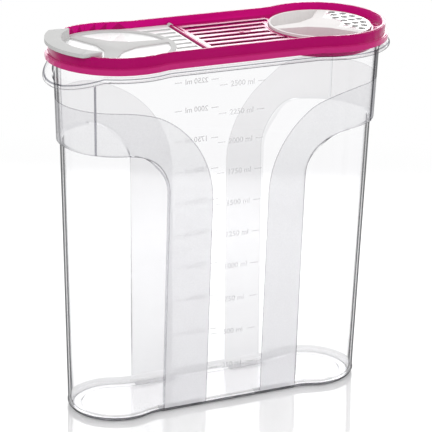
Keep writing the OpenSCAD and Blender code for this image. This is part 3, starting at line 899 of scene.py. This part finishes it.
def scale_mark_heights():
    """Heights of the marks, from the volume that the vessel holds below each"""
    scale, vessel = sizes().scale, sizes().vessel
    heights = []
    z, filled = vessel.floor, 0.0
    while len(heights) < scale.marks:
        if filled >= (len(heights) + 1) * scale.step * MILLILITRE:
            heights.append(z)
        recess = panel_depth(z) if z < vessel.panel_top else 0.0
        ring = vessel_ring(z, wall_offset(z) - vessel.wall, recess, vessel.panel_in)
        area = sum(a.x * b.y - b.x * a.y for a, b in zip(ring, ring[1:] + ring[:1])) / 2
        filled += abs(area) * SLICE
        z += SLICE
    return heights


def add_number(bm, text, z):
    """Adds a number of the scale to a bmesh, as solid letters round the middle at a height"""
    letters = bpy.data.curves.new("mark", "FONT")
    letters.body = text
    letters.size = sizes().scale.digit_height * FONT_PER_DIGIT
    letters.align_x = "CENTER"
    letters.align_y = "CENTER"
    letters.extrude = MARK_REACH
    letters.offset = MARK_BOLDNESS
    letters.resolution_u = 3
    holder = bpy.data.objects.new("mark", letters)
    shape = bpy.data.meshes.new_from_object(holder)
    shape.transform(Matrix.Translation((0, 0, z)) @ Matrix.Rotation(math.pi / 2, 4, "X"))
    bm.from_mesh(shape)
    bpy.data.objects.remove(holder)
    bpy.data.curves.remove(letters)
    bpy.data.meshes.remove(shape)


def build_scale():
    """Ticks and numbers of the volume scale, moulded slightly proud on both broad sides"""
    scale, outline = sizes().scale, sizes().outline
    front = bmesh.new()
    for mark, z in enumerate(scale_mark_heights(), 1):
        for side in (-1, 1):
            tick = bmesh.ops.create_cube(front, size=1.0)["verts"]
            bmesh.ops.scale(front, verts=tick, vec=(scale.tick_length, TICK_DEPTH, TICK_THICKNESS))
            bmesh.ops.translate(front, verts=tick,
                                vec=(side * (scale.tick_end - scale.tick_length / 2), 0, z))
        add_number(front, f"{mark * scale.step} ml", z)
    back = front.copy()
    bmesh.ops.rotate(back, verts=back.verts[:], cent=(0, 0, 0), matrix=Matrix.Rotation(math.pi, 3, "Z"))
    pale = frosted_marks()
    for bm, name, side in ((front, "scale_front", -1), (back, "scale_back", 1)):
        for v in bm.verts:
            v.co.y += side * (outline.waist_half + wall_offset(v.co.z) + MARK_REACH)
        finish_piece(bm, name, "body", [], [pale])


# Stage

def build_camera():
    """The camera at the photograph's angle"""
    yaw, pitch, roll = math.radians(25.107), math.radians(20.561), math.radians(1.219)
    place = (-0.53504, -1.14148, 0.59283)
    forward = Vector((math.sin(yaw) * math.cos(pitch), math.cos(yaw) * math.cos(pitch), -math.sin(pitch)))
    right = Vector((math.cos(yaw), -math.sin(yaw), 0.0))
    up = right.cross(forward)
    turned = right * math.cos(roll) + up * math.sin(roll)
    raised = up * math.cos(roll) - right * math.sin(roll)
    data = bpy.data.cameras.new("Camera")
    data.sensor_width = 36.0
    data.lens = 173.74
    data.clip_start = 0.05
    data.clip_end = 30.0
    camera = bpy.data.objects.new("Camera", data)
    camera.matrix_world = Matrix.Translation(place) @ Matrix(
        (turned, raised, -forward)).transposed().to_4x4()
    bpy.context.scene.collection.objects.link(camera)
    bpy.context.scene.camera = camera


def add_lamp(name, place, target, size, power):
    """A soft lamp that points at a place"""
    data = bpy.data.lights.new(name, "AREA")
    data.shape = "RECTANGLE"
    data.size, data.size_y = size
    data.energy = power
    lamp = bpy.data.objects.new(name, data)
    direction = Vector(target) - Vector(place)
    lamp.visible_camera = False
    lamp.matrix_world = Matrix.Translation(place) @ direction.to_track_quat("-Z", "Y").to_matrix().to_4x4()
    bpy.context.scene.collection.objects.link(lamp)


def build_surroundings(lit=0.72):
    """White surroundings, which light the object less than they show"""
    world = bpy.data.worlds.new("Studio")
    bpy.context.scene.world = world
    world.use_nodes = True
    tree = world.node_tree
    tree.nodes.clear()
    strength = maths(tree, "ADD", lit, maths(tree, "MULTIPLY", seen(tree), 1.0 - lit))
    light = node(tree, "ShaderNodeBackground", {"Color": (1.0, 1.0, 1.0, 1.0), "Strength": strength})
    out = tree.nodes.new("ShaderNodeOutputWorld")
    tree.links.new(light.outputs[0], out.inputs["Surface"])


def floor_plastic():
    """Glossy pale floor that turns white away from the object"""
    material, tree, out = new_material("Glossy white floor")
    grain = place_grain(tree, {"Flow Size": 0.4, "Roughness": 0.06, "Variation": 0.02})
    shader = node(tree, "ShaderNodeBsdfPrincipled", {
        "Base Color": sizes().finish.floor, "Roughness": grain["Roughness"], "IOR": 1.6})
    white = node(tree, "ShaderNodeEmission", {"Color": (1.0, 1.0, 1.0, 1.0), "Strength": 1.0})
    place = node(tree, "ShaderNodeTexCoord").outputs["Object"]
    away = node(tree, "ShaderNodeVectorMath", {"Vector": place}, operation="LENGTH").outputs["Value"]
    share = maths(tree, "MULTIPLY", seen(tree), map_range(tree, away, *FLOOR_FADE))
    tree.links.new(blend_shader(tree, share, shader.outputs[0], white.outputs[0]),
                   out.inputs["Surface"])
    return material


def build_stage(half_width=3.0, gap=0.0002):
    """Pale glossy floor, white surroundings, soft studio lamps and the camera"""
    scene = bpy.context.scene
    scene.view_settings.view_transform = "Standard"
    build_surroundings()
    bm = bmesh.new()
    bmesh.ops.create_grid(bm, x_segments=1, y_segments=1, size=half_width)
    bmesh.ops.translate(bm, verts=bm.verts[:], vec=(0, 0, -gap))
    mesh = bpy.data.meshes.new("floor")
    bm.to_mesh(mesh)
    bm.free()
    mesh.materials.append(floor_plastic())
    floor = bpy.data.objects.new("floor", mesh)
    scene.collection.objects.link(floor)
    for lamp in LAMPS:
        add_lamp(*lamp)
    build_camera()


class ContainerStage(bpy.types.Operator):
    """Make the floor, the lamps and the camera"""

    bl_idname = "cereal_container.stage"
    bl_label = "Stage"

    def execute(self, context):
        build_stage()
        return {"FINISHED"}


class ContainerVessel(bpy.types.Operator):
    """Make the clear vessel with its frosted bands"""

    bl_idname = "cereal_container.vessel"
    bl_label = "Vessel"

    def execute(self, context):
        build_vessel()
        return {"FINISHED"}


class ContainerScale(bpy.types.Operator):
    """Make the volume scale"""

    bl_idname = "cereal_container.scale"
    bl_label = "Scale"

    def execute(self, context):
        build_scale()
        return {"FINISHED"}


class ContainerLid(bpy.types.Operator):
    """Make the lid"""

    bl_idname = "cereal_container.lid"
    bl_label = "Lid"

    def execute(self, context):
        finish, outline, places = sizes().finish, sizes().outline, sizes().places

        def lid_face(face):
            """Which plastic a face has: outside and tops, inside of the wall with painted light, or
            grooves with painted shade
            """
            centre = face.calc_center_median()
            lobe = math.copysign(outline.lobe_x, centre.x)
            from_axis = Vector((centre.x - lobe if abs(centre.x) > outline.lobe_x else 0, centre.y, 0))
            in_deck = places.deck_left < centre.x < places.deck_right
            in_deck = in_deck and abs(centre.y) < places.deck_half
            # Faces in the deck's grooves take the dark colour of painted shade
            if in_deck and places.groove_low < centre.z < places.groove_top:
                return 2
            # Faces inside the wall take the paler colour of painted light
            looks_in = face.normal.dot(from_axis) < -0.5 * from_axis.length
            return 1 if looks_in and centre.z > places.wall_low else 0

        rounded_copy("lid", "lid_moulding", "lid", LID_SOFTNESS,
                     [tinted_plastic("Magenta lid", finish.lid),
                      tinted_plastic("Magenta lid inside, painted light", finish.lid_inside_lit, 0.35),
                      tinted_plastic("Magenta grooves, painted shade", finish.lid_groove_shade)], lid_face)
        return {"FINISHED"}


class ContainerCap(bpy.types.Operator):
    """Make the flip cap"""

    bl_idname = "cereal_container.cap"
    bl_label = "Flip cap"

    def execute(self, context):
        finish, outline, places = sizes().finish, sizes().outline, sizes().places

        def highlight_face(face):
            """The dished floor and the ridge tops have a polish and a paler colour as a painted highlight,
            and the rest is satin
            """
            centre = face.calc_center_median()
            reach = math.hypot(centre.x + outline.lobe_x, centre.y)
            dish = abs(centre.z - places.dish_floor) < HEIGHT_TOLERANCE and reach < places.dish_reach
            ridge = abs(centre.z - places.ridge_top) < HEIGHT_TOLERANCE
            return 1 if face.normal.z > 0.9 and (dish or ridge) else 0

        rounded_copy("flip_cap", "cap_moulding", "cap", INSERT_SOFTNESS,
                     [moulded_plastic("Satin cap", finish.cap, 0.7, 0.08),
                      moulded_plastic("Polished cap, painted highlight", finish.polish_highlight, 0.42)], highlight_face)
        return {"FINISHED"}


class ContainerDial(bpy.types.Operator):
    """Make the dispenser dial"""

    bl_idname = "cereal_container.dial"
    bl_label = "Dispenser dial"

    def execute(self, context):
        rounded_copy("dispenser_dial", "dial_moulding", "dial", INSERT_SOFTNESS, [dial_plastic()])
        return {"FINISHED"}


STEPS = (ContainerStage, ContainerVessel, ContainerScale, ContainerLid, ContainerCap, ContainerDial)


class ContainerPanel(bpy.types.Panel):
    """Lists the steps and the sizes"""

    bl_idname = "VIEW3D_PT_cereal_container"
    bl_label = "Cereal container"
    bl_space_type = "VIEW_3D"
    bl_region_type = "UI"
    bl_category = "Cereal container"

    def draw(self, context):
        settings = context.scene.cereal_container
        for step in STEPS:
            self.layout.operator(step.bl_idname)
        for part in (settings.outline, settings.vessel, settings.band, settings.scale,
                     settings.finish, settings.places):
            box = self.layout.box()
            for name in part.bl_rna.properties.keys():
                if name not in ("rna_type", "name"):
                    box.prop(part, name)


CLASSES = (OutlineSizes, VesselSizes, BandSizes, ScaleSizes, Finishes, FinishPlaces,
           ContainerSettings, *STEPS, ContainerPanel)


def register():
    """Registers the classes and the scene's settings"""
    for kind in CLASSES:
        bpy.utils.register_class(kind)
    bpy.types.Scene.cereal_container = PointerProperty(type=ContainerSettings)


def unregister():
    """Takes the settings and the classes away again"""
    del bpy.types.Scene.cereal_container
    for kind in reversed(CLASSES):
        bpy.utils.unregister_class(kind)


def main():
    """Makes every piece"""
    register()
    for step in STEPS:
        group, name = step.bl_idname.split(".")
        getattr(getattr(bpy.ops, group), name)()


if __name__ == "__main__":
    main()
